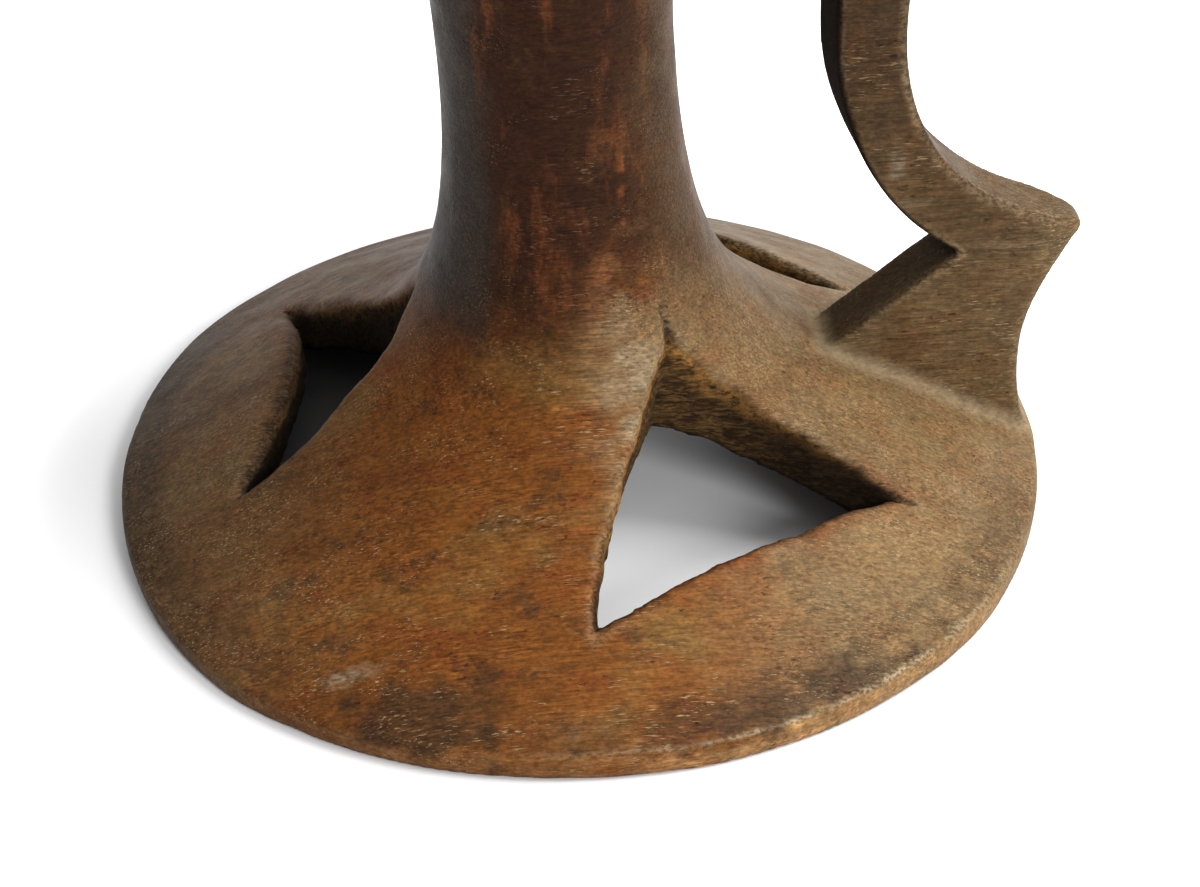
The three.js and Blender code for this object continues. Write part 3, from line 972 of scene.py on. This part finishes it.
class Wood(Shader):
    """Old hard wood, oiled and handled: warm patina, short pale fibres, dark stains from wear, and some
    painted light and shade.
    """

    def __init__(self):
        super().__init__("carved_wood")
        self.clouds = self.noise((24, 18, 18), 3, shift=3)
        self.blotch = self.noise((9, 6, 6), 4, rough=0.65, shift=11)
        self.mottle = self.noise((2.6, 1.5, 1.5), 4, rough=0.7, shift=23)
        self.grain = self.noise((5.0, 0.42, 0.42), 3, rough=0.6, shift=31, twist=0.3)
        self.speck = self.noise((0.8, 0.5, 0.5), 2, shift=47)
        self.raw_grain = self.noise((3.0, 0.8, 0.6), 4, rough=0.75, shift=41, twist=0.8)

    def tinted(self, colour, tint, mask, pattern, low, high, bottom, top):
        """A colour with a tint over it where a mask says so, broken up by a pattern."""
        broken = self.ramp(pattern, low, high, bottom, top)
        return self.mix(colour, tint, self.math("MULTIPLY", self.mask(mask), broken))

    def column_patina(self):
        streaks = self.noise((4, 4, 16), 4, rough=0.65, shift=7)
        smears = self.noise((7, 7, 12), 3, rough=0.65, shift=17)
        colour = self.mix(COLUMN_BROWN, FLAME, self.ramp(streaks, 0.5, 0.7, 0, 0.55))
        colour = self.mix(colour, OLIVE, self.ramp(smears, 0.54, 0.78, 0, 0.22))
        return self.mix(colour, FLAME, self.ramp(self.mask("red"), 0.15, 0.9))

    def patina(self):
        """Orange and russet in front, khaki at the right, on the handle and as painted sheen and light
        on the column, dark on the column.
        """
        broad = self.noise((13, 9, 9), 5, rough=0.75, shift=5)
        colour = self.mix(ORANGE, RUSSET, self.ramp(self.blotch, 0.50, 0.68, 0, 0.75))
        colour = self.mix(colour, OLIVE, self.ramp(self.clouds, 0.50, 0.66, 0, 0.55))
        colour = self.mix(colour, UMBER, self.ramp(broad, 0.53, 0.66, 0, 0.6))
        colour = self.tinted(colour, KHAKI, "khaki", self.blotch, 0.3, 0.75, 1.0, 0.62)
        colour = self.mix(colour, self.column_patina(), self.mask("dark"))
        # Painted grey sheen on the left side of the column.
        colour = self.mix(colour, GREY_SHEEN, self.ramp(self.mask("grey_sheen"), 0.1, 1.0, 0, 0.9))
        # Pale scuffs, and the lip patch, which is partly a painted highlight.
        colour = self.tinted(colour, PALE, "pale", self.grain, 0.36, 0.64, 0.45, 0.9)
        colour = self.tinted(colour, TAN, "tan", self.mottle, 0.35, 0.6, 0.35, 1.0)
        # Real stains, and painted shade on the left and back of the base.
        colour = self.tinted(colour, UMBER, "stain_and_shade", self.mottle, 0.3, 0.7, 1.0, 0.72)
        return self.tinted(colour, RUSSET, "rust", self.mottle, 0.3, 0.6, 0.3, 0.65)

    def fine_shade(self):
        """Fine changes of tone: cloudy polish, grain along the log, specks and brushed patches."""
        shade = self.ramp(self.clouds, 0.3, 0.7, 0.88, 1.12)
        for pattern, darkest, lightest in (
            (self.mottle, 0.82, 1.20),
            (self.grain, 0.76, 1.26),
            (self.speck, 0.80, 1.22),
        ):
            tone = self.ramp(pattern, 0.25, 0.75, darkest, lightest)
            shade = self.math("MULTIPLY", shade, tone)
        shade = self.math("MULTIPLY", shade, self.ramp(self.mask("handle"), 0.0, 1.0, 1.0, 0.68))
        hatch = self.noise((7.0, 0.34, 0.34), 3, rough=0.7, shift=13, twist=0.2)
        lines = self.ramp(hatch, 0.34, 0.66, 0.70, 1.32)
        brushed = self.ramp(self.noise((16, 7, 7), 3, rough=0.6, shift=67), 0.50, 0.64)
        return self.math("MULTIPLY", shade, self.mix_value(1.0, lines, brushed))

    def flecks(self):
        """Short pale fibres: lines in clusters, and dots where the wood is khaki."""
        pen = self.noise((2.4, 0.24, 0.24), 2, rough=0.6, shift=59, twist=0.35)
        dot = self.noise((0.9, 0.28, 0.28), 2, rough=0.6, shift=71, twist=0.3)
        cluster = self.noise((12, 6, 6), 3, rough=0.6, shift=83)
        lines = self.math("MULTIPLY", self.ramp(pen, 0.59, 0.67), self.ramp(cluster, 0.45, 0.62))
        dots = self.math("MULTIPLY", self.ramp(dot, 0.58, 0.76), self.mask("khaki"))
        dots = self.math("MULTIPLY", dots, self.ramp(cluster, 0.36, 0.55, 0.35, 1.0))
        dots = self.math("MULTIPLY", dots, self.ramp(self.mask("handle"), 0, 1, 1.0, 0.3))
        return self.math("MAXIMUM", lines, dots)

    def pores(self):
        pits = self.noise((1.6, 0.5, 0.5), 2, shift=97, twist=0.4)
        return self.math("MULTIPLY", self.ramp(pits, 0.62, 0.72), self.ramp(self.blotch, 0.42, 0.60))

    def cut_wall(self):
        """The knife-cut walls of the windows, with golden fibres along the upper lip, partly torn fibre
        and partly a painted highlight.
        """
        fibres = self.noise((1.6, 1.6, 1.0), 4, rough=0.75, shift=43)
        wall = self.mix(WALL_DARK, WALL_LIGHT, self.ramp(self.raw_grain, 0.40, 0.70))
        return self.tinted(wall, GOLDEN, "lip", fibres, 0.38, 0.58, 0.0, 1.0)

    def underside(self):
        return self.mix(INSIDE_DARK, INSIDE_LIGHT, self.ramp(self.raw_grain, 0.4, 0.7))

    def edges_shade_and_dust(self, colour):
        """Edges paler from wear and as a painted highlight, painted shade on shaded faces and walls and
        in crevices, and dust, over a colour.
        """
        # Edges paler from wear and as a painted highlight.
        wear_and_highlight = self.mix(KHAKI, BARE_AND_HIGHLIGHT, self.ramp(self.speck, 0.35, 0.6))
        colour = self.tinted(colour, wear_and_highlight, "edge", self.mottle, 0.3, 0.65, 0.55, 0.95)
        # Painted shade on the handle's inner face and on shaded window walls.
        colour = self.mix(colour, PORE_AND_SHADE_BLACK, self.math("MULTIPLY", self.mask("painted_shade"), 0.85))
        # Painted shade in crevices.
        colour = self.tinted(colour, PORE_AND_SHADE_BLACK, "cavity", self.speck, 0.3, 0.7, 0.8, 0.4)
        return self.tinted(colour, DUSTY, "dust", self.mottle, 0.3, 0.7, 0.4, 0.8)

    def roughness(self, flecks, raw):
        """Satin, duller on fibres and dust, and matt on raw wood and where shade is painted."""
        polish = self.ramp(self.blotch, 0.3, 0.7, 0.40, 0.52)
        polish = self.math("ADD", polish, self.math("MULTIPLY", flecks, 0.2))
        polish = self.math("ADD", polish, self.math("MULTIPLY", self.mask("dust"), 0.25))
        return self.mix_value(self.mix_value(polish, 0.85, raw), 1.0, self.mask("painted_shade"))

    def relief(self, flecks, pores, raw):
        """The normal of the fine relief: grain and mottle, sunk fibres and pores, and raw wood."""
        height = self.math("MULTIPLY", self.grain, 0.5)
        height = self.math("ADD", height, self.math("MULTIPLY", self.mottle, 0.6))
        height = self.math("SUBTRACT", height, self.math("MULTIPLY", flecks, 0.25))
        height = self.math("SUBTRACT", height, self.math("MULTIPLY", pores, 0.5))
        rough_cut = self.math("MULTIPLY", self.raw_grain, 3.0)
        height = self.math("ADD", height, self.math("MULTIPLY", raw, rough_cut))
        bump = self.tree.nodes.new("ShaderNodeBump")
        bump.inputs["Strength"].default_value = 0.6
        bump.inputs["Distance"].default_value = 0.0004
        self.plug(bump.inputs["Height"], height)
        return bump.outputs["Normal"]


def wood_material():
    """The one material of the carving, which the masks of surface_masks vary from place to place."""
    w = Wood()
    flecks = w.flecks()
    pores = w.pores()
    raw = w.math("MAXIMUM", w.mask("cut"), w.mask("under"))
    bright = w.ramp(w.mask("dark"), 0, 1, 0.66, 0.24)
    colour = w.scaled(w.patina(), w.fine_shade())
    colour = w.mix(colour, FIBRE, w.math("MULTIPLY", flecks, bright))
    colour = w.mix(colour, PORE_AND_SHADE_BLACK, w.math("MULTIPLY", pores, 0.6))
    colour = w.mix(colour, w.cut_wall(), w.mask("cut"))
    colour = w.mix(colour, w.underside(), w.mask("under"))
    w.plug(w.surface.inputs["Base Color"], w.edges_shade_and_dust(colour))
    w.plug(w.surface.inputs["Roughness"], w.roughness(flecks, raw))
    w.plug(w.surface.inputs["Normal"], w.relief(flecks, pores, raw))
    w.surface.inputs["Specular IOR Level"].default_value = 0.08
    return w.material


# ------------------------------------------------------------------ stage


def placed_camera():
    """The camera, close in and a little above, so that the lower half fills the picture."""
    elevation = math.radians(36.73)
    azimuth = math.radians(-3.0)
    roll = math.radians(-2.0)
    distance = 0.3961
    aim = Vector((0.00384, 0.00513, 0.0))
    forward = Vector((0.0, math.cos(elevation), -math.sin(elevation)))
    right = Vector((1.0, 0.0, 0.0))
    up = right.cross(forward)
    turned_right = math.cos(roll) * right + math.sin(roll) * up
    turned_up = -math.sin(roll) * right + math.cos(roll) * up
    place = aim - forward * distance
    turn = Matrix.Rotation(azimuth, 4, "Z")
    pose = Matrix.Identity(4)
    for row in range(3):
        pose[row][0] = turned_right[row]
        pose[row][1] = turned_up[row]
        pose[row][2] = -forward[row]
        pose[row][3] = place[row]
    data = bpy.data.cameras.new("camera")
    data.lens = 70.0
    data.sensor_width = 36.0
    data.clip_start = 0.01
    camera = bpy.data.objects.new("camera", data)
    camera.matrix_world = turn @ pose
    bpy.context.scene.collection.objects.link(camera)
    bpy.context.scene.camera = camera


def floor_material():
    """White cloth that glows more and more away from the base, as painted light, and is painted dark
    under its left part, as shade.
    """
    cloth = Shader("white_cloth")
    radius = cloth.length(cloth.position)
    # Painted shade: darker cloth under the left part of the base.
    shade = cloth.ramp(cloth.across(cloth.position), *SHADE_FROM_TO, 0.0, SHADE_STRENGTH)
    inside = cloth.ramp(radius, 0.97 * BASE_RADIUS, 0.88 * BASE_RADIUS)
    tone = cloth.mix(CLOTH_TONE, SHADED_TONE, cloth.math("MULTIPLY", shade, inside))
    # Painted light: the cloth glows more and more away from the base.
    far_glow = cloth.ramp(radius, 1.10 * BASE_RADIUS, 1.55 * BASE_RADIUS, 0.0, FAR_GLOW)
    cloth.plug(cloth.surface.inputs["Base Color"], tone)
    cloth.plug(cloth.surface.inputs["Emission Strength"], far_glow)
    cloth.surface.inputs["Emission Color"].default_value = (1, 1, 1, 1)
    cloth.surface.inputs["Roughness"].default_value = 0.9
    return cloth.material


def white_floor():
    mesh = bpy.data.meshes.new("floor")
    half = 3.0
    corners = [(-half, -half, 0), (half, -half, 0), (half, half, 0), (-half, half, 0)]
    mesh.from_pydata(corners, [], [(0, 1, 2, 3)])
    floor = bpy.data.objects.new("floor", mesh)
    bpy.context.scene.collection.objects.link(floor)
    mesh.materials.append(floor_material())


def area_light(name, place, aim, size, power):
    """A round soft lamp, size metres across, that faces a point."""
    data = bpy.data.lights.new(name, "AREA")
    data.shape = "DISK"
    data.size = size
    data.energy = power
    light = bpy.data.objects.new(name, data)
    light.location = place
    light.rotation_euler = (Vector(aim) - Vector(place)).to_track_quat("-Z", "Y").to_euler()
    bpy.context.scene.collection.objects.link(light)


def studio():
    """A white sweep that is brighter from the right and from above, and two soft lamps.

    The camera sees the sweep as plain white.
    """
    world = bpy.data.worlds.new("studio")
    world.use_nodes = True
    nodes = world.node_tree.nodes
    links = world.node_tree.links
    background = nodes["Background"]
    coordinate = nodes.new("ShaderNodeTexCoord")
    toward = nodes.new("ShaderNodeVectorMath")
    toward.operation = "DOT_PRODUCT"
    toward.inputs[1].default_value = BRIGHT_SIDE
    side = nodes.new("ShaderNodeMapRange")
    side.inputs["From Min"].default_value = -0.5
    side.inputs["From Max"].default_value = 0.9
    side.inputs["To Min"].default_value = DARK_GLOW
    side.inputs["To Max"].default_value = BRIGHT_GLOW
    side.interpolation_type = "SMOOTHSTEP"
    links.new(coordinate.outputs["Generated"], toward.inputs[0])
    links.new(toward.outputs["Value"], side.inputs["Value"])
    seen = nodes.new("ShaderNodeLightPath")
    pick = nodes.new("ShaderNodeMix")
    pick.data_type = "FLOAT"
    links.new(seen.outputs["Is Camera Ray"], pick.inputs["Factor"])
    links.new(side.outputs["Result"], pick.inputs["A"])
    pick.inputs["B"].default_value = 1.0
    links.new(pick.outputs["Result"], background.inputs["Strength"])
    background.inputs["Color"].default_value = (1, 1, 1, 1)
    bpy.context.scene.world = world
    aim = (0, 0, 0.03)
    area_light("key", (0.45, -0.05, 0.70), aim, 0.5, KEY_POWER)
    area_light("front", (0.29, -0.63, 0.42), aim, 0.22, FRONT_POWER)
    bpy.context.scene.view_settings.view_transform = "Standard"
    bpy.context.scene.view_settings.gamma = CONTRAST_GAMMA


# ------------------------------------------------------------------ build

placed_camera()
white_floor()
studio()

carving = Carving()
vertices, quads, grid = mesh_field(carving)
whole = new_object("whole", vertices, quads)

material = wood_material()
for node, view in side_views().items():
    piece = cut_piece(node + "_wood", whole, view)
    finish_surface(piece, carving, grid)
    piece.data.materials.append(material)
    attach(piece, "root")
    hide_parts(node)
bpy.data.objects.remove(whole)
